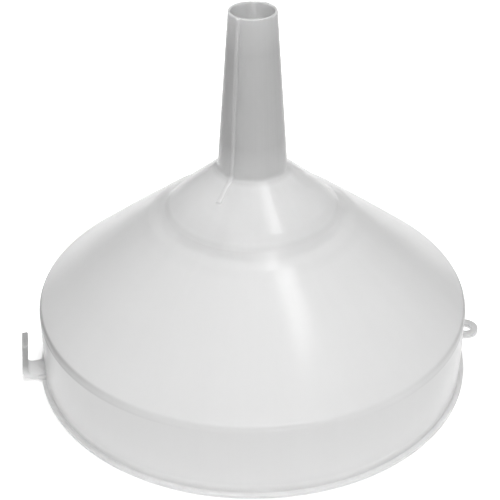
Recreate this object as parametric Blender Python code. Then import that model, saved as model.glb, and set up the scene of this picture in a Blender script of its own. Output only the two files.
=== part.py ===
"""Plastic filling funnel with a push-in strainer.

The funnel stands on its mouth with the stem up. The origin is the centre of the mouth plane, +Z runs up
the stem and +X runs from the hook to the eye. Sizes are in metres. Three pieces: the funnel moulding, the
strainer frame that plugs into the seat inside the cone, and the mesh disc held in the frame's groove.
"""

from math import ceil, cos, hypot, pi, radians, sin, tan

import bmesh
import bpy
from mathutils import Matrix, Vector

# Turning
SEGMENTS = 64
EYE_SIDES = 40
HOLE_SIDES = 28
HUB_SIDES = 24
MERGE = 0.00001
GAP = 0.0003

# Funnel shell, outer side
MOUTH_RADIUS = 0.1250
SHOULDER_Z = 0.0459
SHOULDER_FILLET = 0.0050
CONE_MID = (0.0920, 0.0728)
CONE_MID_FILLET = 0.4000
CONE_FOOT = (0.0590, 0.0988)
CONE_FOOT_FILLET = 0.0150
CREASE = (0.0495, 0.1045)
CREASE_FILLET = 0.0030
CROWN_FOOT = (0.0431, 0.1108)
CROWN_FOOT_FILLET = 0.0120
STEM_ROOT = (0.0193, 0.1313)
STEM_ROOT_FILLET = 0.0030
TIP_RADIUS = 0.0130
TIP_Z = 0.2217
WALL = 0.0014

# Rim flange
FLANGE_RADIUS = 0.1276
FLANGE_THICKNESS = 0.0022

# Strainer seat inside the cone
COLLAR_OUTER = 0.0492
COLLAR_INNER = 0.0476
COLLAR_RIM_Z = 0.0992
LANDING_INNER = 0.0458
LANDING_Z = 0.1036

# Vent ribs on the stem
RIB_AZIMUTHS = (45.0, 225.0)
RIB_WIDTH = 0.0026
RIB_RELIEF = 0.0009
RIB_FOOT_RADIUS = 0.0320
RIB_FILLET = 0.0040
RIB_TOP_Z = TIP_Z - 0.0006

# Hook, which like the eye sits a little above the mouth plane
LUG_LOW_Z = 0.0013
LUG_THICKNESS = 0.0022
HOOK_REACH = 0.1389
HOOK_WIDTH = 0.0140
HOOK_TOP_Z = 0.0260
HOOK_THICKNESS = 0.0035
HOOK_LEAN = 0.0021
HOOK_BEND = 0.0060
HOOK_EDGE = 0.0004
ROOT_FLARE = 0.0030
ROOT_INSET = 0.0002

# Eye
EYE_CENTRE = 0.1342
EYE_RADIUS = 0.0082
EYE_HOLE_RADIUS = 0.0043

# Strainer frame
FRAME_RADIUS = COLLAR_INNER - GAP
FRAME_TOP_Z = LANDING_Z - GAP
FRAME_INNER = 0.0449
LIP_RADIUS = 0.0506
LIP_TOP_Z = COLLAR_RIM_Z - GAP
LIP_BOTTOM_Z = LIP_TOP_Z - 0.0015
CROSS_RIBS = 3
CROSS_RIB_WIDTH = 0.0020
CROSS_RIB_DEPTH = 0.0015
HUB_RADIUS = 0.0050
GRIP_THICKNESS = 0.0022
GRIP_BOTTOM_Z = 0.0915
GRIP_TOP_Z = 0.0990
GRIP_SPAN = 0.0460
GRIP_TAPER = 0.0060
GRIP_FILLET = 0.0040

# Strainer mesh, a perforated sheet that stands for the woven cloth
MESH_RADIUS = 0.0459
MESH_THICKNESS = 0.0006
MESH_Z = 0.1009
MESH_PITCH = 0.0068
MESH_OPENING = 0.0048
MESH_MARGIN = 0.0007
GROOVE_RADIUS = MESH_RADIUS + GAP


def clear_scene():
    """Remove every object the file opened with."""
    for old in list(bpy.data.objects):
        bpy.data.objects.remove(old, do_unlink=True)


def plastic(name, colour, roughness, metallic=0.0):
    """Return a Principled material."""
    material = bpy.data.materials.new(name)
    material.use_nodes = True
    shader = material.node_tree.nodes["Principled BSDF"]
    shader.inputs["Base Color"].default_value = (*colour, 1.0)
    shader.inputs["Roughness"].default_value = roughness
    shader.inputs["Metallic"].default_value = metallic
    return material


def rounded(corners, steps_per_turn=36):
    """Return an open outline whose corners (x, y, radius) are replaced by arcs; radius 0 stays sharp."""
    points = [Vector(corners[0][:2])]
    for before, corner, after in zip(corners, corners[1:], corners[2:]):
        centre_point = Vector(corner[:2])
        radius = corner[2] if len(corner) > 2 else 0.0
        back = (Vector(before[:2]) - centre_point).normalized()
        ahead = (Vector(after[:2]) - centre_point).normalized()
        turn = pi - back.angle(ahead)
        if radius == 0.0 or turn < radians(0.2):
            points.append(centre_point)
            continue
        reach = radius * tan(turn / 2)
        bisector = (back + ahead).normalized()
        middle = centre_point + bisector * hypot(radius, reach)
        start = centre_point + back * reach - middle
        side = 1.0 if start.cross(centre_point + ahead * reach - middle) > 0 else -1.0
        steps = max(1, ceil(steps_per_turn * turn / (2 * pi)))
        for step in range(steps + 1):
            swing = Matrix.Rotation(side * turn * step / steps, 2)
            points.append(middle + swing @ start)
    points.append(Vector(corners[-1][:2]))
    return [tuple(point) for point in points]


def inset(corners, distance):
    """Return the corners moved to the right of the direction of travel, with concentric radii.

    The first point keeps its height, so an end face there stays level.
    """
    lines = []
    for start, end in zip(corners, corners[1:]):
        along = (Vector(end[:2]) - Vector(start[:2])).normalized()
        across = Vector((along.y, -along.x)) * distance
        lines.append((Vector(start[:2]) + across, along))
    moved = [(lines[0][0].x, corners[0][1])]
    for (point, along), (next_point, next_along), corner in zip(lines, lines[1:], corners[1:]):
        turn = along.cross(next_along)
        reach = (next_point - point).cross(next_along) / turn
        meeting = point + along * reach
        radius = corner[2] if len(corner) > 2 else 0.0
        if radius > 0.0:
            radius = max(0.0, radius + (distance if turn > 0 else -distance))
        moved.append((meeting.x, meeting.y, radius))
    last_point, last_along = lines[-1]
    end = Vector(corners[-1][:2])
    moved.append(tuple(last_point + last_along * (end - last_point).dot(last_along)))
    return moved


def add_object(name, mesh, material=None):
    """Link a mesh to the scene as a named object."""
    made = bpy.data.objects.new(name, mesh)
    bpy.context.scene.collection.objects.link(made)
    if material:
        mesh.materials.append(material)
    return made


def turned(name, profile, material):
    """Return a body turned about Z from a closed (radius, z) profile that runs down its outer side."""
    mesh = bpy.data.meshes.new(name)
    count = len(profile)
    edges = [(index, (index + 1) % count) for index in range(count)]
    mesh.from_pydata([(radius, 0.0, z) for radius, z in profile], edges, [])
    body = add_object(name, mesh, material)
    screw = body.modifiers.new("Turn", "SCREW")
    screw.axis = "Z"
    screw.angle = 2 * pi
    screw.steps = SEGMENTS
    screw.render_steps = SEGMENTS
    screw.use_merge_vertices = True
    screw.merge_threshold = MERGE
    screw.use_smooth_shade = True
    return body


def extruded(name, outline, low, high):
    """Return a prism on the XY plane between two heights."""
    shape = bmesh.new()
    corners = [shape.verts.new((x, y, low)) for x, y in outline]
    base = shape.faces.new(corners)
    lifted = bmesh.ops.extrude_face_region(shape, geom=[base])["geom"]
    top = [item for item in lifted if isinstance(item, bmesh.types.BMVert)]
    bmesh.ops.translate(shape, verts=top, vec=(0.0, 0.0, high - low))
    bmesh.ops.recalc_face_normals(shape, faces=shape.faces)
    mesh = bpy.data.meshes.new(name)
    shape.to_mesh(mesh)
    shape.free()
    return add_object(name, mesh)


def upright(name, outline, width, azimuth=0.0):
    """Return a plate of the given width whose outline is (radius, z), standing in a radial plane."""
    plate = extruded(name, outline, -width / 2, width / 2)
    plate.data.transform(Matrix.Rotation(pi / 2, 4, "X"))
    plate.data.transform(Matrix.Rotation(radians(azimuth), 4, "Z"))
    return plate


def circle(centre_x, radius, count):
    """Return points round a circle whose centre is on the X axis."""
    turns = [2 * pi * index / count for index in range(count)]
    return [(centre_x + radius * cos(turn), radius * sin(turn)) for turn in turns]


def combine(body, tool, operation):
    """Add or cut a helper shape, and keep the helper out of the model."""
    tool.hide_render = True
    tool.display_type = "WIRE"
    boolean = body.modifiers.new(tool.name, "BOOLEAN")
    boolean.operation = operation
    boolean.solver = "EXACT"
    boolean.object = tool


def shell_profile():
    """Return the funnel's closed profile: down the outside, across the rim, and up the inside."""
    outside = [
        (TIP_RADIUS, TIP_Z),
        (*STEM_ROOT, STEM_ROOT_FILLET),
        (*CROWN_FOOT, CROWN_FOOT_FILLET),
        (*CREASE, CREASE_FILLET),
        (*CONE_FOOT, CONE_FOOT_FILLET),
        (*CONE_MID, CONE_MID_FILLET),
        (MOUTH_RADIUS, SHOULDER_Z, SHOULDER_FILLET),
        (MOUTH_RADIUS, 0.0),
    ]
    inside = rounded(inset(outside, WALL))
    upper = [point for point in inside if point[0] < LANDING_INNER]
    lower = [point for point in inside if point[0] > COLLAR_OUTER]
    seat = [
        (COLLAR_OUTER, height_at(inside, COLLAR_OUTER)),
        (COLLAR_OUTER, COLLAR_RIM_Z),
        (COLLAR_INNER, COLLAR_RIM_Z),
        (COLLAR_INNER, LANDING_Z),
        (LANDING_INNER, LANDING_Z),
        (LANDING_INNER, height_at(inside, LANDING_INNER)),
    ]
    flange = [
        (MOUTH_RADIUS, FLANGE_THICKNESS),
        (FLANGE_RADIUS, FLANGE_THICKNESS),
        (FLANGE_RADIUS, 0.0),
    ]
    return rounded(outside)[:-1] + flange + lower[::-1] + seat + upper[::-1]


def height_at(outline, radius):
    """Return the height at which an outline that widens downwards crosses a radius."""
    for (near, high), (far, low) in zip(outline, outline[1:]):
        if near <= radius <= far and far > near:
            return high + (low - high) * (radius - near) / (far - near)
    raise ValueError("the outline doesn't reach this radius")


def rib_outline():
    """Return a vent rib's (radius, z) outline: up the stem's wall and back down in relief."""
    crown_slope = (CROWN_FOOT[1] - STEM_ROOT[1]) / (CROWN_FOOT[0] - STEM_ROOT[0])
    foot_z = STEM_ROOT[1] + crown_slope * (RIB_FOOT_RADIUS - STEM_ROOT[0])
    surface = [(TIP_RADIUS, TIP_Z), STEM_ROOT, (RIB_FOOT_RADIUS, foot_z)]
    raised = inset(surface, -RIB_RELIEF)
    sunk = inset(surface, WALL / 2)
    stem_slope = (STEM_ROOT[0] - TIP_RADIUS) / (TIP_Z - STEM_ROOT[1])
    drop = TIP_Z - RIB_TOP_Z
    raised[0] = (raised[0][0] + stem_slope * drop, RIB_TOP_Z)
    sunk[0] = (sunk[0][0] + stem_slope * drop, RIB_TOP_Z)
    return rounded([raised[0], (*raised[1][:2], RIB_FILLET), raised[2]]) + [point[:2] for point in sunk[::-1]]


def add_hook(body):
    """Add the flat arm at the rim and the prong that turns up from it, on the -X side."""
    inner = -MOUTH_RADIUS + WALL / 2
    seat_z = LUG_LOW_Z + HOOK_THICKNESS
    bend_inner = HOOK_BEND - HOOK_THICKNESS
    strip = rounded([
        (inner, seat_z),
        (-HOOK_REACH + HOOK_THICKNESS, seat_z, bend_inner),
        (-HOOK_REACH + HOOK_LEAN + HOOK_THICKNESS, HOOK_TOP_Z, HOOK_EDGE),
        (-HOOK_REACH + HOOK_LEAN, HOOK_TOP_Z, HOOK_EDGE),
        (-HOOK_REACH, LUG_LOW_Z, HOOK_BEND),
        (inner, LUG_LOW_Z),
    ])
    combine(body, upright("hook_strip", strip, HOOK_WIDTH), "UNION")
    half = HOOK_WIDTH / 2 - ROOT_INSET
    bend_start = -HOOK_REACH + HOOK_BEND
    wide = half + ROOT_FLARE
    root = rounded([
        (inner, wide),
        (-FLANGE_RADIUS, wide),
        (-FLANGE_RADIUS - ROOT_FLARE, half, ROOT_FLARE),
        (bend_start, half),
        (bend_start, -half),
        (-FLANGE_RADIUS - ROOT_FLARE, -half, ROOT_FLARE),
        (-FLANGE_RADIUS, -wide),
        (inner, -wide),
    ])
    lug_low = LUG_LOW_Z + ROOT_INSET
    combine(body, extruded("hook_root", root, lug_low, LUG_LOW_Z + LUG_THICKNESS), "UNION")


def add_eye(body):
    """Add the flat ring at the rim, on the +X side."""
    lug_top = LUG_LOW_Z + LUG_THICKNESS
    ring = circle(EYE_CENTRE, EYE_RADIUS, EYE_SIDES)
    combine(body, extruded("eye_ring", ring, LUG_LOW_Z, lug_top), "UNION")
    hole = circle(EYE_CENTRE, EYE_HOLE_RADIUS, HOLE_SIDES)
    combine(body, extruded("eye_hole", hole, LUG_LOW_Z - GAP, lug_top + GAP), "DIFFERENCE")


def make_funnel():
    """Make the one-piece funnel moulding."""
    natural = plastic("natural_polypropylene", (0.83, 0.83, 0.82), 0.35)
    body = turned("funnel_body", shell_profile(), natural)
    for number, azimuth in enumerate(RIB_AZIMUTHS):
        combine(body, upright(f"vent_rib_{number}", rib_outline(), RIB_WIDTH, azimuth), "UNION")
    add_hook(body)
    add_eye(body)
    return body


def make_strainer_frame():
    """Make the push-in ring with its mesh groove, cross ribs and grip bar."""
    white = plastic("white_polypropylene", (0.80, 0.80, 0.79), 0.40)
    groove_low = MESH_Z - GAP
    groove_high = MESH_Z + MESH_THICKNESS + GAP
    ring = [
        (FRAME_INNER, FRAME_TOP_Z),
        (FRAME_RADIUS, FRAME_TOP_Z),
        (FRAME_RADIUS, LIP_TOP_Z),
        (LIP_RADIUS, LIP_TOP_Z),
        (LIP_RADIUS, LIP_BOTTOM_Z),
        (FRAME_INNER, LIP_BOTTOM_Z),
        (FRAME_INNER, groove_low),
        (GROOVE_RADIUS, groove_low),
        (GROOVE_RADIUS, groove_high),
        (FRAME_INNER, groove_high),
    ]
    frame = turned("strainer_frame", ring, white)
    rib_low = FRAME_TOP_Z - CROSS_RIB_DEPTH
    reach = (FRAME_INNER + GROOVE_RADIUS) / 2
    hub = extruded("hub", circle(0.0, HUB_RADIUS, HUB_SIDES), rib_low, FRAME_TOP_Z)
    combine(frame, hub, "UNION")
    for number in range(CROSS_RIBS):
        box = [(-reach, rib_low), (reach, rib_low), (reach, FRAME_TOP_Z), (-reach, FRAME_TOP_Z)]
        rib = upright(f"cross_rib_{number}", box, CROSS_RIB_WIDTH, 180.0 * number / CROSS_RIBS)
        combine(frame, rib, "UNION")
    bar = [
        (-GRIP_SPAN, GRIP_TOP_Z),
        (-GRIP_SPAN, LIP_BOTTOM_Z),
        (-GRIP_SPAN + GRIP_TAPER, GRIP_BOTTOM_Z, GRIP_FILLET),
        (GRIP_SPAN - GRIP_TAPER, GRIP_BOTTOM_Z, GRIP_FILLET),
        (GRIP_SPAN, LIP_BOTTOM_Z),
        (GRIP_SPAN, GRIP_TOP_Z),
    ]
    combine(frame, upright("grip_bar", rounded(bar), GRIP_THICKNESS, 90.0), "UNION")
    return frame


def make_strainer_mesh():
    """Make the disc with its grid of square openings."""
    steel = plastic("stainless_steel", (0.62, 0.62, 0.63), 0.30, 1.0)
    disc = extruded("strainer_mesh", circle(0.0, MESH_RADIUS, SEGMENTS), MESH_Z, MESH_Z + MESH_THICKNESS)
    disc.data.materials.append(steel)
    cutter = bmesh.new()
    reach = ceil(MESH_RADIUS / MESH_PITCH)
    farthest = FRAME_INNER - MESH_MARGIN
    for column in range(-reach, reach + 1):
        for row in range(-reach, reach + 1):
            x = column * MESH_PITCH
            y = row * MESH_PITCH
            if hypot(abs(x) + MESH_OPENING / 2, abs(y) + MESH_OPENING / 2) > farthest:
                continue
            place = Matrix.Translation((x, y, MESH_Z + MESH_THICKNESS / 2))
            size = Matrix.Diagonal((MESH_OPENING, MESH_OPENING, MESH_THICKNESS + 2 * GAP, 1.0))
            bmesh.ops.create_cube(cutter, size=1.0, matrix=place @ size)
    mesh = bpy.data.meshes.new("mesh_openings")
    cutter.to_mesh(mesh)
    cutter.free()
    combine(disc, add_object("mesh_openings", mesh), "DIFFERENCE")
    return disc


def main():
    clear_scene()
    make_funnel()
    strainer = bpy.data.objects.new("strainer_slide", None)
    strainer.location = (0.0, 0.0, FRAME_TOP_Z)
    bpy.context.scene.collection.objects.link(strainer)
    for piece in (make_strainer_frame(), make_strainer_mesh()):
        piece.parent = strainer
        piece.matrix_parent_inverse = Matrix.Translation((0.0, 0.0, -FRAME_TOP_Z))


main()
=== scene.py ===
"""Looks of the plastic filling funnel: fine meshes, moulded plastics, wire cloth, studio and camera.

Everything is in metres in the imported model's frame: the funnel stands on its mouth at z = 0, +Z runs up the
stem and +X runs from the hook to the eye.
"""

from math import asin, ceil, cos, hypot, pi, radians, sin, sqrt, tan

import bmesh
import bpy
from mathutils import Matrix, Vector


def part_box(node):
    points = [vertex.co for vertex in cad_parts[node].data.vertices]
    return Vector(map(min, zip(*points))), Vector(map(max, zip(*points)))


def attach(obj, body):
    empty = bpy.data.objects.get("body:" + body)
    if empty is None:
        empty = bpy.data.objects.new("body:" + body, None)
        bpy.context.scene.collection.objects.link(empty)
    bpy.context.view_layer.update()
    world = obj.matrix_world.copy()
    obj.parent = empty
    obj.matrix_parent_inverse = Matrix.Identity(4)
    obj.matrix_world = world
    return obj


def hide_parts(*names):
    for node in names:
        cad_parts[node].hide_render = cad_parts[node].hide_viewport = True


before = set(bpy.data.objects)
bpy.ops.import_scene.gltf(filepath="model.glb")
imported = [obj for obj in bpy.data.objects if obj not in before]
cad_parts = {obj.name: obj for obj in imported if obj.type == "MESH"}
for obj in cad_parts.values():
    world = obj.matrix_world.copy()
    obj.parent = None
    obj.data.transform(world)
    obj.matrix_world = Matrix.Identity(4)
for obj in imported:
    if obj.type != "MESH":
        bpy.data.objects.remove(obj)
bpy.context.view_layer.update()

MM = 0.001
FLAT_TOLERANCE = 0.01 * MM
SMALLEST_TURN = radians(0.2)
_, body_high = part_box("funnel_body")
ring_low, ring_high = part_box("strainer_frame")
cloth_low, cloth_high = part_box("strainer_mesh")

# Funnel shell
TIP_Z = body_high.z
FLANGE_RADIUS = body_high.y
FLANGE_THICKNESS = 2.2 * MM
MOUTH_RADIUS = FLANGE_RADIUS - 2.6 * MM
WALL = 1.4 * MM
TIP_RADIUS = 13.0 * MM
STEM_ROOT = (19.3 * MM, 131.3 * MM)
STEM_TAPER = (STEM_ROOT[0] - TIP_RADIUS) / (TIP_Z - STEM_ROOT[1])
CROWN_FOOT = (43.1 * MM, 110.8 * MM)
CREASE = (49.5 * MM, 104.5 * MM)
CONE_FOOT = (59.0 * MM, 98.8 * MM)
CONE_MID = (92.0 * MM, 72.8 * MM)
SHOULDER_Z = 45.9 * MM
EDGE_ROUND = 0.35 * MM
LIP_ROUND = 0.45 * MM
FLANGE_FILLET = 0.6 * MM
SHOULDER_ROUND = 5.0 * MM
CONE_SWEEP = 400.0 * MM
CONE_FOOT_ROUND = 15.0 * MM
CREASE_ROUND = 3.0 * MM
CROWN_FOOT_ROUND = 12.0 * MM
STEM_ROOT_ROUND = 3.0 * MM
LONGEST_EDGE = 1.6 * MM
SHARP_ANGLE = 42.0

# Strainer seat
COLLAR_OUTER = 49.2 * MM
COLLAR_INNER = 47.6 * MM
COLLAR_RIM_Z = 99.2 * MM
LANDING_INNER = 45.8 * MM
LANDING_Z = 103.6 * MM

# Vent ribs
RIB_AZIMUTHS = (radians(45.0), radians(225.0))
RIB_RELIEF = 0.9 * MM
RIB_FOOT_RADIUS = 32.0 * MM
RIB_FOOT_END = 0.5 * MM
RIB_FAN_RADIUS = 36.0 * MM
RIB_FOOT_STEPS = (-2.0, -1.0, -0.6, -0.3, 0.0, 1.0)
RIB_FULL_NORMAL = 0.5
RIB_LOWEST_NORMAL = -0.1
RIB_SECTION = ((1.80, 0.0), (1.48, 0.04), (1.22, 0.72), (0.95, 0.97), (0.50, 1.0))
SECTOR_STEPS = 96

# Hook and eye
LUG_LOW_Z = 1.3 * MM
LUG_THICKNESS = 2.2 * MM
HOOK_REACH = 138.87 * MM
HOOK_WIDTH = 14.0 * MM
HOOK_TOP_Z = 26.0 * MM
HOOK_THICKNESS = 3.5 * MM
HOOK_LEAN = 2.1 * MM
HOOK_BEND = 6.0 * MM
PRONG_TIP_ROUND = 0.6 * MM
ROOT_FLARE = 3.0 * MM
ROOT_INSET = 0.2 * MM
EYE_RADIUS = 8.2 * MM
EYE_HOLE_RADIUS = 4.3 * MM
EYE_CENTRE = body_high.x - EYE_RADIUS

# Strainer
FRAME_INNER = 44.9 * MM
LIP_THICKNESS = 1.5 * MM
LIP_TOP_Z = COLLAR_RIM_Z - 0.3 * MM
CROSS_RIB_WIDTH = 2.0 * MM
CROSS_RIB_DEPTH = 1.5 * MM
HUB_RADIUS = 5.0 * MM
GRIP_THICKNESS = 2.2 * MM
GRIP_SPAN = 46.0 * MM
GRIP_SLOPE = 6.0 * MM
GRIP_ROUND = 4.0 * MM
GRIP_EDGE = 0.5 * MM
GRIP_SINK = 0.1 * MM
PLUG_CLEARANCE = 0.3 * MM
PLUG_ROOT_ROUND = 0.2 * MM
GROOVE_RADIUS = 46.2 * MM
GROOVE_CLEARANCE = 0.3 * MM
GROOVE_ROUND = 0.15 * MM
SPOKE_EDGE = 0.25 * MM
SPOKE_COUNT = 3
FRAME_SHARP_ANGLE = 35.0
CLOTH_MARGIN = 0.2 * MM
WIRE_DIAMETER = 0.28 * MM
WIRE_PITCH = 1.3 * MM
WIRE_SIDES = 6

# Camera and studio
CAMERA_AZIMUTH = radians(-99.4)
CAMERA_OUT = 0.6207
CAMERA_HEIGHT = 0.4733
CAMERA_PITCH = radians(32.74)
CAMERA_YAW = radians(0.13)
CAMERA_LENS = 91.62
CAMERA_SENSOR = 36.0
LAMP_AIM = Vector((0.0, 0.0, 0.08))
FLOOR_SIZE = 12.0
FLOOR_Z = -0.05 * MM

# The floor's glow, laid out along the camera's heading. Across it, the glow is full inside the first distance
# and gone at the second. Away from the camera, it goes from the near glow to the far glow between the two.
TABLE_ACROSS = (0.26, 0.36)
TABLE_AWAY = (0.25, 0.45)
TABLE_NEAR_GLOW = 0.28
TABLE_FAR_GLOW = 0.60
UNDER_FUNNEL_GLOW = 0.27

# The room's light panel, by the parts of a direction that point to the camera and upwards
PANEL_TOWARD = (0.40, 0.57)
PANEL_UP = (0.64, 0.81)
PANEL_BLUR = 0.08
PANEL_LIGHT = 3.55
ROOM_LIGHT = 0.02

# Greys of the moulding's plastic, and its relief
CLOUD_GREY = (0.867, 0.877)
FLOW_GREY = (0.0, 0.013)
FLOW_STRETCH = 1.6
FLOW_RELIEF = 0.12 * MM
PEEL_RELIEF = 0.004 * MM
SCUFF_RELIEF = 0.01 * MM

# Painted light and shade in the moulding's grey, tuned to the photo: the share of its grey that a zone loses
# as painted shade or gains as painted light. SIDE marks a share that is full in line with the hook and the
# eye and fades to nothing a quarter turn from them, and the flange's painted light is the other way round.
# They match the photo's view and aren't a property of the plastic.
SIDE_FALLOFF = 4.0
# Painted shade on the stem's outside, more in line with the hook and the eye, and painted light inside the
# tip's bore.
STEM_PAINTED_SHADE = 0.20
STEM_SIDE_PAINTED_SHADE = 0.27
STEM_ZONE = (STEM_ROOT[1] - 2.0 * MM, STEM_ROOT[1] + 18.0 * MM)
STEM_END = (TIP_Z - 20.0 * MM, TIP_Z)
BORE_PAINTED_LIGHT = 0.12
BORE_ZONE = (TIP_Z - 50.0 * MM, TIP_Z - 30.0 * MM)
# Painted light on the flange and lugs in line with the hook and the eye; painted shade on the eye and the
# hook's prong.
RIM_SIDE_PAINTED_LIGHT = 0.10
RIM_RADII = (MOUTH_RADIUS + 0.3 * MM, MOUTH_RADIUS + 1.5 * MM)
EYE_PAINTED_SHADE = 0.40
PRONG_PAINTED_SHADE = 0.60
LUG_RADII = (FLANGE_RADIUS + 0.5 * MM, FLANGE_RADIUS + 3.0 * MM)
PRONG_ZONE = (4.0 * MM, 12.0 * MM)
# Painted shade along the shoulder's corner, in line with the hook and the eye.
CORNER_SIDE_PAINTED_SHADE = 0.50
CORNER_ZONE = (SHOULDER_Z - 3.7 * MM, SHOULDER_Z + 0.5 * MM)
CORNER_BLUR = 1.0 * MM
CORNER_RADII = (MOUTH_RADIUS - 4.0 * MM, MOUTH_RADIUS - 2.0 * MM)
# Painted shade on the cone.
CONE_PAINTED_SHADE = 0.08
CONE_ZONE = (SHOULDER_Z, CREASE[1] - 2.5 * MM)
CONE_BLUR = 2.0 * MM
# Painted shade on the cone and the skirt, in line with the hook and the eye.
FLANK_SIDE_PAINTED_SHADE = 0.07
FLANK_END = (CONE_FOOT[1] - 3.0 * MM, CREASE[1])
FLANK_RADII = (FLANGE_RADIUS, FLANGE_RADIUS + 3.0 * MM)
# Painted shade on the skirt, more in line with the hook and the eye.
SKIRT_PAINTED_SHADE = 0.02
SKIRT_SIDE_PAINTED_SHADE = 0.11
SKIRT_ZONE = (8.0 * MM, SHOULDER_Z - 4.0 * MM)
SKIRT_BLUR = 3.0 * MM
# Painted light low on the skirt and the flange, away from the hook and the eye.
FLANGE_PAINTED_LIGHT = 0.10
FLANGE_END = (5.0 * MM, 8.0 * MM)
# Painted shade round the fillet at the cone's foot, below the crease.
FILLET_PAINTED_SHADE = 0.04
FILLET_ZONE = (CONE_FOOT[1], CREASE[1] - 4.0 * MM)
FILLET_BLUR = 4.0 * MM
# Painted light on the crown above the crease.
CROWN_PAINTED_LIGHT = 0.12
CROWN_ZONE = (CREASE[1] + 3.0 * MM, STEM_ROOT[1] - 3.0 * MM)
CROWN_BLUR = 1.5 * MM


# ---------------------------------------------------------------- outlines

def rounded(corners, steps_per_turn=96):
    """Return an open outline whose corners (x, y, radius) are replaced by arcs; radius 0 stays sharp."""
    points = [Vector(corners[0][:2])]
    for before, corner, after in zip(corners, corners[1:], corners[2:]):
        here = Vector(corner[:2])
        radius = corner[2] if len(corner) > 2 else 0.0
        back = (Vector(before[:2]) - here).normalized()
        ahead = (Vector(after[:2]) - here).normalized()
        turn = pi - back.angle(ahead)
        if radius == 0.0 or turn < SMALLEST_TURN:
            points.append(here)
            continue
        reach = radius * tan(turn / 2)
        middle = here + (back + ahead).normalized() * hypot(radius, reach)
        start = here + back * reach - middle
        side = 1.0 if start.cross(here + ahead * reach - middle) > 0 else -1.0
        steps = max(3, ceil(steps_per_turn * turn / (2 * pi)))
        for step in range(steps + 1):
            points.append(middle + Matrix.Rotation(side * turn * step / steps, 2) @ start)
    points.append(Vector(corners[-1][:2]))
    return [tuple(point) for point in points]


def inset(corners, distance):
    """Return the corners moved to the right of the direction of travel, with concentric radii."""
    lines = []
    for start, end in zip(corners, corners[1:]):
        along = (Vector(end[:2]) - Vector(start[:2])).normalized()
        lines.append((Vector(start[:2]) + Vector((along.y, -along.x)) * distance, along))
    moved = [(lines[0][0].x, corners[0][1])]
    for (point, along), (next_point, next_along), corner in zip(lines, lines[1:], corners[1:]):
        turn = along.cross(next_along)
        straight = abs(turn) < 0.00001
        meeting = next_point if straight else point + along * ((next_point - point).cross(next_along) / turn)
        radius = corner[2] if len(corner) > 2 else 0.0
        if radius > 0.0:
            radius = max(0.0, radius + (distance if turn > 0 else -distance))
        moved.append((meeting.x, meeting.y, radius))
    last_point, last_along = lines[-1]
    moved.append(tuple(last_point + last_along * (Vector(corners[-1][:2]) - last_point).dot(last_along)))
    return moved


def height_at(outline, radius):
    """Return the height at which an outline that widens downwards crosses a radius."""
    for (near, high), (far, low) in zip(outline, outline[1:]):
        if near <= radius <= far and far > near:
            return high + (low - high) * (radius - near) / (far - near)
    raise ValueError("the outline doesn't reach this radius")


def closed_rounded(corners, radius=EDGE_ROUND):
    """Return a closed outline with arcs at its corners; a corner may carry its own radius."""
    full = [(*corner[:2], corner[2] if len(corner) > 2 else radius) for corner in corners]
    return rounded([full[-1], *full, full[0]])[1:-1]


def densified(outline, longest):
    """Return a closed outline with no edge longer than a limit."""
    points = []
    for start, end in zip(outline, outline[1:] + outline[:1]):
        steps = max(1, ceil(hypot(end[0] - start[0], end[1] - start[1]) / longest))
        for step in range(steps):
            share = step / steps
            points.append((start[0] + (end[0] - start[0]) * share, start[1] + (end[1] - start[1]) * share))
    return points


def circle(centre_x, radius, count):
    """Return points round a circle whose centre is on the X axis."""
    turns = [2 * pi * index / count for index in range(count)]
    return [(centre_x + radius * cos(turn), radius * sin(turn)) for turn in turns]


# ---------------------------------------------------------------- meshes

def add_object(name, mesh, material=None):
    """Link a mesh to the scene as a named object."""
    made = bpy.data.objects.new(name, mesh)
    bpy.context.scene.collection.objects.link(made)
    if material:
        mesh.materials.append(material)
    return made


def extruded(name, outline, low, high, edge=0.0):
    """Return a prism on the XY plane between two heights, with rounded rims if an edge radius is given."""
    shape = bmesh.new()
    base = shape.faces.new([shape.verts.new((x, y, low)) for x, y in outline])
    lifted = bmesh.ops.extrude_face_region(shape, geom=[base])["geom"]
    top = [item for item in lifted if isinstance(item, bmesh.types.BMVert)]
    bmesh.ops.translate(shape, verts=top, vec=(0.0, 0.0, high - low))
    bmesh.ops.recalc_face_normals(shape, faces=shape.faces)
    if edge:
        rims = [item for item in shape.edges if abs(item.verts[0].co.z - item.verts[1].co.z) < FLAT_TOLERANCE]
        bmesh.ops.bevel(
            shape, geom=rims, offset=edge, segments=3, profile=0.5, affect="EDGES", clamp_overlap=True
        )
    mesh = bpy.data.meshes.new(name)
    shape.to_mesh(mesh)
    shape.free()
    return add_object(name, mesh)


def upright(name, outline, width, azimuth=0.0, edge=0.0):
    """Return a plate of the given width whose outline is (radius, z), standing in a radial plane."""
    plate = extruded(name, outline, -width / 2, width / 2, edge)
    plate.data.transform(Matrix.Rotation(pi / 2, 4, "X"))
    plate.data.transform(Matrix.Rotation(azimuth, 4, "Z"))
    return plate


def even_turn(count):
    """Return a rule that gives the same evenly spaced angles at every radius."""
    return lambda radius: [2 * pi * index / count for index in range(count)]


def outward_normals(profile):
    """Return the unit normal at each point of a closed profile that runs down its outer side."""
    normals = []
    for index in range(len(profile)):
        along = Vector(profile[(index + 1) % len(profile)]) - Vector(profile[index - 1])
        normals.append(Vector((-along.y, along.x)).normalized())
    return normals


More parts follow.
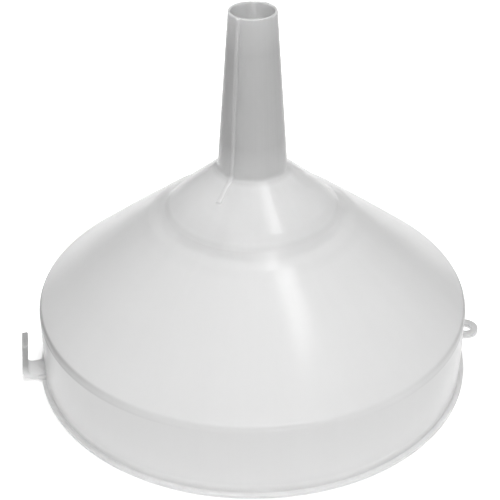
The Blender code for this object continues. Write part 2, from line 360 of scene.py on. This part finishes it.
def turned(name, profile, angles_at, material, relief=None):
    """Return a body turned about Z from a closed profile that runs down its outer side.

    angles_at gives a ring's angles from its radius. relief gives the (outward, upward) shift of a vertex
    from its index in the profile and its index round the ring.
    """
    count = len(profile)
    columns = len(angles_at(profile[0][0]))
    vertices = []
    for index, (radius, z) in enumerate(profile):
        for column, angle in enumerate(angles_at(radius)):
            out, up = relief(index, column) if relief else (0.0, 0.0)
            vertices.append(((radius + out) * cos(angle), (radius + out) * sin(angle), z + up))
    faces = []
    for index in range(count):
        lower = (index + 1) % count
        for column in range(columns):
            right = (column + 1) % columns
            faces.append((
                index * columns + column,
                lower * columns + column,
                lower * columns + right,
                index * columns + right,
            ))
    mesh = bpy.data.meshes.new(name)
    mesh.from_pydata(vertices, [], faces)
    mesh.update()
    return add_object(name, mesh, material)


def combine(body, tool, operation="UNION"):
    """Add or cut a helper shape for good, and delete the helper."""
    boolean = body.modifiers.new(tool.name, "BOOLEAN")
    boolean.operation = operation
    boolean.solver = "EXACT"
    boolean.object = tool
    bake_modifiers(body)
    bpy.data.objects.remove(tool, do_unlink=True)


def bake_modifiers(body):
    """Replace a body's mesh by what its modifiers make of it."""
    graph = bpy.context.evaluated_depsgraph_get()
    done = bpy.data.meshes.new_from_object(body.evaluated_get(graph))
    body.modifiers.clear()
    body.data = done


def smooth(body, sharp_angle):
    """Shade a body smooth except along edges sharper than an angle in degrees."""
    body.data.shade_smooth()
    body.data.set_sharp_from_angle(angle=radians(sharp_angle))


# ---------------------------------------------------------------- node materials

def new_material(name):
    """Return a material with its node tree and its Principled node."""
    material = bpy.data.materials.new(name)
    material.use_nodes = True
    return material, material.node_tree, material.node_tree.nodes["Principled BSDF"]


def link(tree, source, target):
    tree.links.new(source, target)


def object_position(tree, stretch=(1.0, 1.0, 1.0)):
    """Return a socket with the surface point in metres, stretched along each axis."""
    place = tree.nodes.new("ShaderNodeTexCoord")
    scale = tree.nodes.new("ShaderNodeMapping")
    scale.inputs["Scale"].default_value = stretch
    link(tree, place.outputs["Object"], scale.inputs["Vector"])
    return scale.outputs["Vector"]


def noise(tree, vector, scale, detail=2.0, roughness=0.5):
    """Return a noise value socket; scale is in cycles per metre."""
    texture = tree.nodes.new("ShaderNodeTexNoise")
    texture.inputs["Scale"].default_value = scale
    texture.inputs["Detail"].default_value = detail
    texture.inputs["Roughness"].default_value = roughness
    link(tree, vector, texture.inputs["Vector"])
    return texture.outputs["Fac"]


def remap(tree, value, low, high, from_low=0.3, from_high=0.7):
    """Return a socket that carries a value from one range to another."""
    node = tree.nodes.new("ShaderNodeMapRange")
    node.inputs["From Min"].default_value = from_low
    node.inputs["From Max"].default_value = from_high
    node.inputs["To Min"].default_value = low
    node.inputs["To Max"].default_value = high
    link(tree, value, node.inputs["Value"])
    return node.outputs["Result"]


def maths(tree, operation, first, second=None):
    """Return the result of a Math node on sockets or plain numbers."""
    node = tree.nodes.new("ShaderNodeMath")
    node.operation = operation
    for slot, item in enumerate((first, second)):
        if item is None:
            continue
        if isinstance(item, (int, float)):
            node.inputs[slot].default_value = item
        else:
            link(tree, item, node.inputs[slot])
    return node.outputs[0]


def coordinates(tree, vector):
    """Return the X, Y and Z sockets of a vector."""
    parts = tree.nodes.new("ShaderNodeSeparateXYZ")
    link(tree, vector, parts.inputs["Vector"])
    return parts.outputs["X"], parts.outputs["Y"], parts.outputs["Z"]


def product(tree, *factors):
    """Return the product of two or more sockets or plain numbers."""
    total = factors[0]
    for factor in factors[1:]:
        total = maths(tree, "MULTIPLY", total, factor)
    return total


def opposite(tree, value):
    """Return one minus a value."""
    return maths(tree, "SUBTRACT", 1.0, value)


def rise(tree, value, low, high):
    """Return a socket that climbs from 0 to 1 between two limits."""
    return remap(tree, value, 0.0, 1.0, low, high)


def fall(tree, value, low, high):
    """Return a socket that drops from 1 to 0 between two limits."""
    return remap(tree, value, 1.0, 0.0, low, high)


def band(tree, value, low, high, blur):
    """Return a socket that is 1 between two limits and fades to 0 over a blur beyond each."""
    return product(tree, rise(tree, value, low - blur, low), fall(tree, value, high, high + blur))


def level_distance(tree, vector, heading):
    """Return how far a vector reaches along a level heading."""
    x, y, _ = coordinates(tree, vector)
    return maths(tree, "ADD", product(tree, x, heading.x), product(tree, y, heading.y))


def polar(tree):
    """Return sockets for the angle about Z in radians and the radius in metres."""
    x, y, _ = coordinates(tree, object_position(tree))
    angle = maths(tree, "ARCTAN2", y, x)
    squares = maths(tree, "ADD", maths(tree, "POWER", x, 2.0), maths(tree, "POWER", y, 2.0))
    return angle, maths(tree, "SQRT", squares)


def grey(tree, value):
    """Return a colour socket with a value in all three channels."""
    node = tree.nodes.new("ShaderNodeCombineColor")
    for channel in ("Red", "Green", "Blue"):
        link(tree, value, node.inputs[channel])
    return node.outputs["Color"]


def bump(tree, height, distance, under=None):
    """Return a normal socket raised by a height socket."""
    node = tree.nodes.new("ShaderNodeBump")
    node.inputs["Strength"].default_value = 1.0
    node.inputs["Distance"].default_value = distance
    link(tree, height, node.inputs["Height"])
    if under:
        link(tree, under, node.inputs["Normal"])
    return node.outputs["Normal"]


def flow_lines(tree):
    """Return a value that varies round the axis and hardly along a radius, as melt flow does."""
    angle, radius = polar(tree)
    place = tree.nodes.new("ShaderNodeCombineXYZ")
    link(tree, maths(tree, "COSINE", angle), place.inputs["X"])
    link(tree, maths(tree, "SINE", angle), place.inputs["Y"])
    link(tree, product(tree, radius, FLOW_STRETCH), place.inputs["Z"])
    return noise(tree, place.outputs["Vector"], scale=9.0, detail=4.0, roughness=0.6)


def beside_lugs(tree):
    """Return a socket that is 1 in line with the hook and the eye and falls to 0 a quarter turn away."""
    angle, _ = polar(tree)
    return maths(tree, "POWER", maths(tree, "ABSOLUTE", maths(tree, "COSINE", angle)), SIDE_FALLOFF)


def stem_painted_shading(tree, z, radius, beside):
    """Return (zone, share) pairs: painted shade on the stem's outside and its two sides, painted light inside
    its tip.
    """
    above = product(tree, maths(tree, "SUBTRACT", TIP_Z, z), STEM_TAPER)
    wall_middle = maths(tree, "ADD", above, TIP_RADIUS - WALL / 2)
    outside = maths(tree, "GREATER_THAN", radius, wall_middle)
    stem = product(tree, rise(tree, z, *STEM_ZONE), fall(tree, z, *STEM_END), outside)
    bore = product(tree, rise(tree, z, *BORE_ZONE), opposite(tree, outside))
    return [
        (stem, STEM_PAINTED_SHADE),
        (product(tree, stem, beside), STEM_SIDE_PAINTED_SHADE),
        (bore, -BORE_PAINTED_LIGHT),
    ]


def rim_painted_shading(tree, x, z, radius, beside):
    """Return (zone, share) pairs: painted light on the flange and painted shade on the eye and the hook's
    prong.
    """
    rim = rise(tree, radius, *RIM_RADII)
    lug = rise(tree, radius, *LUG_RADII)
    return [
        (product(tree, rim, beside), -RIM_SIDE_PAINTED_LIGHT),
        (product(tree, lug, maths(tree, "GREATER_THAN", x, 0.0)), EYE_PAINTED_SHADE),
        (product(tree, lug, rise(tree, z, *PRONG_ZONE)), PRONG_PAINTED_SHADE),
        (product(tree, fall(tree, z, *FLANGE_END), opposite(tree, beside)), -FLANGE_PAINTED_LIGHT),
    ]


def wall_painted_shading(tree, z, radius, beside):
    """Return (zone, share) pairs: painted shade on the skirt, the shoulder's corner, the cone and its foot,
    painted light on the crown.
    """
    corner = product(tree, band(tree, z, *CORNER_ZONE, CORNER_BLUR), rise(tree, radius, *CORNER_RADII))
    flank = product(tree, fall(tree, z, *FLANK_END), fall(tree, radius, *FLANK_RADII))
    inside_rim = opposite(tree, rise(tree, radius, *RIM_RADII))
    skirt = product(tree, band(tree, z, *SKIRT_ZONE, SKIRT_BLUR), inside_rim)
    return [
        (product(tree, corner, beside), CORNER_SIDE_PAINTED_SHADE),
        (band(tree, z, *CONE_ZONE, CONE_BLUR), CONE_PAINTED_SHADE),
        (product(tree, flank, maths(tree, "POWER", beside, 2.0)), FLANK_SIDE_PAINTED_SHADE),
        (skirt, SKIRT_PAINTED_SHADE),
        (product(tree, skirt, maths(tree, "SQRT", beside)), SKIRT_SIDE_PAINTED_SHADE),
        (band(tree, z, *FILLET_ZONE, FILLET_BLUR), FILLET_PAINTED_SHADE),
        (band(tree, z, *CROWN_ZONE, CROWN_BLUR), -CROWN_PAINTED_LIGHT),
    ]


def painted_shading_factor(tree):
    """Return the factor of painted light and shade on the moulding's grey, tuned zone by zone to the photo.

    It stands for no one property of the plastic: it lowers the grey as painted shade and raises it as painted
    light.
    The shares that use beside_lugs put down painted shade on the edges that the photo shows to its left and
    right,
    """
    x, _, z = coordinates(tree, object_position(tree))
    _, radius = polar(tree)
    beside = beside_lugs(tree)
    painted_shares = stem_painted_shading(tree, z, radius, beside)
    painted_shares += rim_painted_shading(tree, x, z, radius, beside)
    painted_shares += wall_painted_shading(tree, z, radius, beside)
    total = 1.0
    # Each share lowers the grey as painted shade, or raises it as painted light when it is negative.
    for zone, painted_share in painted_shares:
        total = maths(tree, "SUBTRACT", total, product(tree, zone, painted_share))
    return total


def set_values(shader, values):
    """Set constant values on a shader's own sockets."""
    for socket, value in values.items():
        shader.inputs[socket].default_value = value


def natural_plastic():
    """Thin milky polypropylene: light passes through the wall, with a soft moulded gloss."""
    material, tree, shader = new_material("natural_plastic")
    cloud = noise(tree, object_position(tree), scale=14.0, detail=3.0)
    flow = flow_lines(tree)
    plain_grey = maths(tree, "ADD", remap(tree, cloud, *CLOUD_GREY), remap(tree, flow, *FLOW_GREY))
    # The base colour carries painted light and shade on top of the plastic's own grey.
    link(tree, grey(tree, product(tree, plain_grey, painted_shading_factor(tree))), shader.inputs["Base Color"])
    lengthwise = object_position(tree, stretch=(1.0, 1.0, 0.4))
    scuff = noise(tree, lengthwise, scale=160.0, detail=5.0, roughness=0.65)
    link(tree, remap(tree, scuff, low=0.42, high=0.48), shader.inputs["Roughness"])
    ripple = bump(tree, flow, FLOW_RELIEF)
    peel = noise(tree, object_position(tree), scale=900.0)
    link(tree, bump(tree, peel, PEEL_RELIEF, under=ripple), shader.inputs["Normal"])
    set_values(shader, {
        "Subsurface Weight": 1.0,
        "Subsurface Radius": (1.0, 1.0, 1.0),
        "Subsurface Scale": 6.0 * MM,
        "Transmission Weight": 0.3,
        "Specular IOR Level": 0.15,
        "Coat Weight": 0.4,
        "Coat Roughness": 0.14,
        "IOR": 1.49,
    })
    return material


def white_plastic():
    """Opaque white polypropylene with a satin surface."""
    material, tree, shader = new_material("white_plastic")
    cloud = noise(tree, object_position(tree), scale=40.0, detail=3.0)
    link(tree, grey(tree, remap(tree, cloud, low=0.76, high=0.80)), shader.inputs["Base Color"])
    scuff = noise(tree, object_position(tree), scale=350.0, detail=4.0, roughness=0.6)
    link(tree, remap(tree, scuff, low=0.36, high=0.46), shader.inputs["Roughness"])
    link(tree, bump(tree, scuff, SCUFF_RELIEF), shader.inputs["Normal"])
    set_values(shader, {
        "Subsurface Weight": 0.6,
        "Subsurface Radius": (1.0, 1.0, 1.0),
        "Subsurface Scale": 0.8 * MM,
    })
    return material


def steel_wire():
    """Bright drawn stainless wire."""
    material, tree, shader = new_material("steel_wire")
    drawn = noise(tree, object_position(tree), scale=2600.0, detail=3.0)
    link(tree, grey(tree, remap(tree, drawn, low=0.54, high=0.68)), shader.inputs["Base Color"])
    link(tree, remap(tree, drawn, low=0.20, high=0.36), shader.inputs["Roughness"])
    set_values(shader, {"Metallic": 1.0})
    return material


def floor_material():
    """Pale studio floor that glows in a wide strip along the photo camera's heading and under the funnel."""
    material, tree, shader = new_material("studio_floor")
    grain = noise(tree, object_position(tree), scale=30.0, detail=3.0)
    link(tree, grey(tree, remap(tree, grain, low=0.93, high=0.95)), shader.inputs["Base Color"])
    set_values(shader, {
        "Roughness": 0.9,
        "Specular IOR Level": 0.0,
        "Emission Color": (1.0, 1.0, 1.0, 1.0),
    })
    across = level_distance(tree, object_position(tree), seen_from_camera(1.0, 0.0, 0.0))
    away = level_distance(tree, object_position(tree), seen_from_camera(0.0, 1.0, 0.0))
    table = product(tree, fall(tree, maths(tree, "ABSOLUTE", across), *TABLE_ACROSS),
                    remap(tree, away, TABLE_NEAR_GLOW, TABLE_FAR_GLOW, *TABLE_AWAY))
    _, radius = polar(tree)
    under = remap(tree, radius, UNDER_FUNNEL_GLOW, 0.0, MOUTH_RADIUS, FLANGE_RADIUS)
    link(tree, maths(tree, "ADD", table, under), shader.inputs["Emission Strength"])
    return material


# ---------------------------------------------------------------- funnel

def shell_profile():
    """Return the funnel's closed profile: down the outside, across the rim, and up the inside."""
    outside = [
        (TIP_RADIUS, TIP_Z),
        (*STEM_ROOT, STEM_ROOT_ROUND),
        *rib_foot_rings(),
        (*CROWN_FOOT, CROWN_FOOT_ROUND),
        (*CREASE, CREASE_ROUND),
        (*CONE_FOOT, CONE_FOOT_ROUND),
        (*CONE_MID, CONE_SWEEP),
        (MOUTH_RADIUS, SHOULDER_Z, SHOULDER_ROUND),
        (MOUTH_RADIUS, 0.0),
    ]
    inside = rounded(inset(outside, WALL))
    upper = [point for point in inside if point[0] < LANDING_INNER - EDGE_ROUND]
    lower = [point for point in inside if point[0] > COLLAR_OUTER + EDGE_ROUND]
    seat = rounded([
        lower[0],
        (COLLAR_OUTER, height_at(inside, COLLAR_OUTER), EDGE_ROUND),
        (COLLAR_OUTER, COLLAR_RIM_Z, EDGE_ROUND),
        (COLLAR_INNER, COLLAR_RIM_Z, EDGE_ROUND),
        (COLLAR_INNER, LANDING_Z, EDGE_ROUND / 2),
        (LANDING_INNER, LANDING_Z, EDGE_ROUND),
        (LANDING_INNER, height_at(inside, LANDING_INNER), EDGE_ROUND),
        upper[-1],
    ])[1:-1]
    rim = rounded([
        (MOUTH_RADIUS, FLANGE_THICKNESS + 5.0 * MM),
        (MOUTH_RADIUS, FLANGE_THICKNESS, FLANGE_FILLET),
        (FLANGE_RADIUS, FLANGE_THICKNESS, EDGE_ROUND),
        (FLANGE_RADIUS, 0.0, EDGE_ROUND),
        (MOUTH_RADIUS - WALL, 0.0, EDGE_ROUND),
        (MOUTH_RADIUS - WALL, 4.0 * MM),
    ])
    outer = rounded(outside)[1:-1]
    inner = lower[:-1][::-1] + seat + upper[1:][::-1]
    lip = rounded([
        inner[-1],
        (inside[0][0], TIP_Z, LIP_ROUND),
        (TIP_RADIUS, TIP_Z, LIP_ROUND),
        outer[0],
    ])[1:-1]
    return densified(outer + rim + inner + lip, LONGEST_EDGE)


def rib_foot_rings():
    """Return points on the crown close together where the ribs end, so that their feet end crisply."""
    start, end = Vector(STEM_ROOT), Vector(CROWN_FOOT)
    radii = [RIB_FOOT_RADIUS + step * RIB_FOOT_END for step in RIB_FOOT_STEPS]
    return [tuple(start + (end - start) * (radius - start.x) / (end.x - start.x)) for radius in radii]


def rib_angles(radius):
    """Return a ring's angles: close together across the two vent ribs and even between them."""
    reach = min(radius, RIB_FAN_RADIUS)
    half = [asin(across * MM / reach) for across, _ in RIB_SECTION]
    offsets = [-turn for turn in half] + [0.0] + half[::-1]
    span = pi - 2 * half[0]
    angles = []
    for azimuth in RIB_AZIMUTHS:
        angles += [azimuth + offset for offset in offsets]
        angles += [azimuth + half[0] + span * step / SECTOR_STEPS for step in range(1, SECTOR_STEPS)]
    return angles


def rib_relief(profile):
    """Return the rule for how far the ribs shift each vertex of the turned profile."""
    heights = [height for _, height in RIB_SECTION]
    section = heights + [1.0] + heights[::-1] + [0.0] * (SECTOR_STEPS - 1)
    shifts = []
    for (radius, z), normal in zip(profile, outward_normals(profile)):
        on_outside = clamp(normal.x / RIB_FULL_NORMAL) if normal.y > RIB_LOWEST_NORMAL else 0.0
        before_foot = clamp((RIB_FOOT_RADIUS - radius) / RIB_FOOT_END)
        upward = 0.0 if z > TIP_Z - MM else normal.y
        shifts.append(Vector((normal.x, upward)) * RIB_RELIEF * on_outside * before_foot)
    return lambda index, column: shifts[index] * section[column % len(section)]


def clamp(value):
    """Return the value held between 0 and 1."""
    return max(0.0, min(1.0, value))


def add_hook(body):
    """Add the flat arm at the rim and the prong that turns up from it."""
    inner = -MOUTH_RADIUS + WALL / 2
    seat_z = LUG_LOW_Z + HOOK_THICKNESS
    strip = rounded([
        (inner, seat_z),
        (-HOOK_REACH + HOOK_THICKNESS, seat_z, HOOK_BEND - HOOK_THICKNESS),
        (-HOOK_REACH + HOOK_LEAN + HOOK_THICKNESS, HOOK_TOP_Z, PRONG_TIP_ROUND),
        (-HOOK_REACH + HOOK_LEAN, HOOK_TOP_Z, PRONG_TIP_ROUND),
        (-HOOK_REACH, LUG_LOW_Z, HOOK_BEND),
        (inner, LUG_LOW_Z),
    ])
    combine(body, upright("hook_strip", strip, HOOK_WIDTH, 0.0, EDGE_ROUND))
    half = HOOK_WIDTH / 2 - ROOT_INSET
    bend_start = -HOOK_REACH + HOOK_BEND
    wide = half + ROOT_FLARE
    root = rounded([
        (inner, wide),
        (-FLANGE_RADIUS, wide),
        (-FLANGE_RADIUS - ROOT_FLARE, half, ROOT_FLARE),
        (bend_start, half),
        (bend_start, -half),
        (-FLANGE_RADIUS - ROOT_FLARE, -half, ROOT_FLARE),
        (-FLANGE_RADIUS, -wide),
        (inner, -wide),
    ])
    combine(body, extruded("hook_root", root, LUG_LOW_Z + ROOT_INSET, LUG_LOW_Z + LUG_THICKNESS))


def add_eye(body):
    """Add the flat ring at the rim with its hole."""
    top = LUG_LOW_Z + LUG_THICKNESS
    ring = extruded("eye_ring", circle(EYE_CENTRE, EYE_RADIUS, 96), LUG_LOW_Z, top, EDGE_ROUND)
    hole = extruded("eye_hole", circle(EYE_CENTRE, EYE_HOLE_RADIUS, 72), LUG_LOW_Z - MM, top + MM)
    combine(body, ring)
    combine(body, hole, "DIFFERENCE")


def make_funnel(material):
    """Make the one-piece moulding with its ribs, hook and eye."""
    profile = shell_profile()
    body = turned("funnel_moulding", profile, rib_angles, material, rib_relief(profile))
    add_hook(body)
    add_eye(body)
    smooth(body, SHARP_ANGLE)
    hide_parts("funnel_body")
    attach(body, "funnel")


# ---------------------------------------------------------------- strainer

def make_strainer_frame(material):
    """Make the push-in ring with its cloth groove, cross ribs, hub and grip bar."""
    top = ring_high.z
    lip_low = LIP_TOP_Z - LIP_THICKNESS
    groove_low = cloth_low.z - GROOVE_CLEARANCE
    groove_high = cloth_high.z + GROOVE_CLEARANCE
    plug_radius = COLLAR_INNER - PLUG_CLEARANCE
    ring = closed_rounded([
        (plug_radius, top),
        (plug_radius, LIP_TOP_Z, PLUG_ROOT_ROUND),
        (ring_high.x, LIP_TOP_Z),
        (ring_high.x, lip_low),
        (FRAME_INNER, lip_low),
        (FRAME_INNER, groove_low, GROOVE_ROUND),
        (GROOVE_RADIUS, groove_low, 0.0),
        (GROOVE_RADIUS, groove_high, 0.0),
        (FRAME_INNER, groove_high, GROOVE_ROUND),
        (FRAME_INNER, top),
    ])
    body = turned("strainer_ring", ring, even_turn(192), material)
    rib_low = top - CROSS_RIB_DEPTH
    reach = (FRAME_INNER + GROOVE_RADIUS) / 2
    combine(body, extruded("hub", circle(0.0, HUB_RADIUS, 64), rib_low, top, SPOKE_EDGE))
    box = [(-reach, rib_low), (reach, rib_low), (reach, top), (-reach, top)]
    for number in range(SPOKE_COUNT):
        combine(body, upright("cross_rib", box, CROSS_RIB_WIDTH, pi * number / SPOKE_COUNT, SPOKE_EDGE))
    low = ring_low.z
    bar = rounded([
        (-GRIP_SPAN, LIP_TOP_Z + GRIP_SINK),
        (-GRIP_SPAN, lip_low),
        (-GRIP_SPAN + GRIP_SLOPE, low, GRIP_ROUND),
        (GRIP_SPAN - GRIP_SLOPE, low, GRIP_ROUND),
        (GRIP_SPAN, lip_low),
        (GRIP_SPAN, LIP_TOP_Z + GRIP_SINK),
    ])
    combine(body, upright("grip_bar", bar, GRIP_THICKNESS, pi / 2, GRIP_EDGE))
    smooth(body, FRAME_SHARP_ANGLE)
    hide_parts("strainer_frame")
    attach(body, "strainer")


def wire(centre_line, vertices, faces):
    """Append one closed tube round a list of points that run near a straight line."""
    start = len(vertices)
    lengthwise = (centre_line[-1] - centre_line[0]).normalized()
    sideways = lengthwise.cross(Vector((0.0, 0.0, 1.0)))
    for index, point in enumerate(centre_line):
        before = centre_line[max(index - 1, 0)]
        after = centre_line[min(index + 1, len(centre_line) - 1)]
        up = sideways.cross((after - before).normalized())
        for side in range(WIRE_SIDES):
            turn = 2 * pi * side / WIRE_SIDES
            offset = (sideways * cos(turn) + up * sin(turn)) * (WIRE_DIAMETER / 2)
            vertices.append(point + offset)
    for index in range(len(centre_line) - 1):
        for side in range(WIRE_SIDES):
            other = (side + 1) % WIRE_SIDES
            near = start + index * WIRE_SIDES
            far = near + WIRE_SIDES
            faces.append((near + side, near + other, far + other, far + side))
    faces.append(tuple(start + side for side in reversed(range(WIRE_SIDES))))
    end = start + (len(centre_line) - 1) * WIRE_SIDES
    faces.append(tuple(end + side for side in range(WIRE_SIDES)))


def make_strainer_cloth(material):
    """Weave the wire cloth: two sets of crimped wires that pass over and under each other."""
    middle = (cloth_low.z + cloth_high.z) / 2
    radius = cloth_high.x - CLOTH_MARGIN
    swing = WIRE_DIAMETER / 2
    count = int(radius / WIRE_PITCH)
    half = WIRE_PITCH / 2
    vertices = []
    faces = []
    for direction in (0, 1):
        for row in range(-count, count + 1):
            across = row * WIRE_PITCH
            reach = int(sqrt(radius ** 2 - across ** 2) / half)
            if reach < 2:
                continue
            line = []
            for step in range(-reach, reach + 1):
                along = step * half
                phase = pi * (along / WIRE_PITCH + row + direction)
                z = middle + swing * cos(phase)
                line.append(Vector((along, across, z) if direction == 0 else (across, along, z)))
            wire(line, vertices, faces)
    mesh = bpy.data.meshes.new("strainer_wire_cloth")
    mesh.from_pydata(vertices, [], faces)
    mesh.update()
    body = add_object("strainer_wire_cloth", mesh, material)
    body.data.shade_smooth()
    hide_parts("strainer_mesh")
    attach(body, "strainer")


# ---------------------------------------------------------------- studio

def seen_from_camera(right, away, up):
    """Return a direction given in the camera's heading as a vector in the model's frame."""
    turn = Matrix.Rotation(CAMERA_AZIMUTH + pi / 2, 3, "Z")
    return turn @ Vector((right, away, up))


def softbox(name, direction, distance, width, height, power):
    """Add a rectangular area light, in watts, that looks at the funnel."""
    data = bpy.data.lights.new(name, "AREA")
    data.shape = "RECTANGLE"
    data.size = width
    data.size_y = height
    data.energy = power
    lamp = bpy.data.objects.new(name, data)
    lamp.location = LAMP_AIM + direction.normalized() * distance
    lamp.rotation_mode = "QUATERNION"
    lamp.rotation_quaternion = direction.to_track_quat("Z", "Y")
    bpy.context.scene.collection.objects.link(lamp)
    return lamp


def make_world():
    """Leave the room dim but for a soft panel high up on the camera's side."""
    world = bpy.data.worlds.new("studio")
    bpy.context.scene.world = world
    world.use_nodes = True
    tree = world.node_tree
    background = tree.nodes["Background"]
    direction = tree.nodes.new("ShaderNodeTexCoord").outputs["Generated"]
    _, _, up = coordinates(tree, direction)
    toward = level_distance(tree, direction, seen_from_camera(0.0, -1.0, 0.0))
    panel = product(tree, rise(tree, toward, *PANEL_TOWARD), band(tree, up, *PANEL_UP, PANEL_BLUR))
    level = maths(tree, "ADD", product(tree, panel, PANEL_LIGHT), ROOM_LIGHT)
    link(tree, grey(tree, level), background.inputs["Color"])
    background.inputs["Strength"].default_value = 1.0


def make_floor():
    """Lay the pale floor that the funnel stands on."""
    bpy.ops.mesh.primitive_plane_add(size=FLOOR_SIZE, location=(0.0, 0.0, FLOOR_Z))
    floor = bpy.context.object
    floor.name = "studio_floor"
    floor.data.materials.append(floor_material())


def make_camera():
    """Stand the camera at the photo's angle, about 33 degrees above the horizon."""
    data = bpy.data.cameras.new("camera")
    data.lens = CAMERA_LENS
    data.sensor_width = CAMERA_SENSOR
    camera = bpy.data.objects.new("camera", data)
    camera.location = (CAMERA_OUT * cos(CAMERA_AZIMUTH), CAMERA_OUT * sin(CAMERA_AZIMUTH), CAMERA_HEIGHT)
    heading = CAMERA_AZIMUTH + pi / 2 + CAMERA_YAW
    camera.rotation_euler = (pi / 2 - CAMERA_PITCH, 0.0, heading)
    bpy.context.scene.collection.objects.link(camera)
    bpy.context.scene.camera = camera


def make_lights():
    """Hang a broad softbox overhead and small ones that draw the sheen on the cone."""
    overhead = seen_from_camera(0.0, 0.0, 1.0)
    top = softbox("top", overhead, distance=1.5, width=0.40, height=0.40, power=16.0)
    top.visible_glossy = False
    front_right = seen_from_camera(0.29, -0.24, 0.92)
    softbox("key", front_right, distance=1.3, width=0.26, height=0.55, power=3.5)
    front_left = seen_from_camera(-0.55, -0.60, 0.55)
    softbox("fill", front_left, distance=1.4, width=0.15, height=0.15, power=0.4)


make_world()
make_floor()
make_camera()
make_lights()
make_funnel(natural_plastic())
make_strainer_frame(white_plastic())
make_strainer_cloth(steel_wire())
bpy.context.scene.view_settings.view_transform = "Standard"
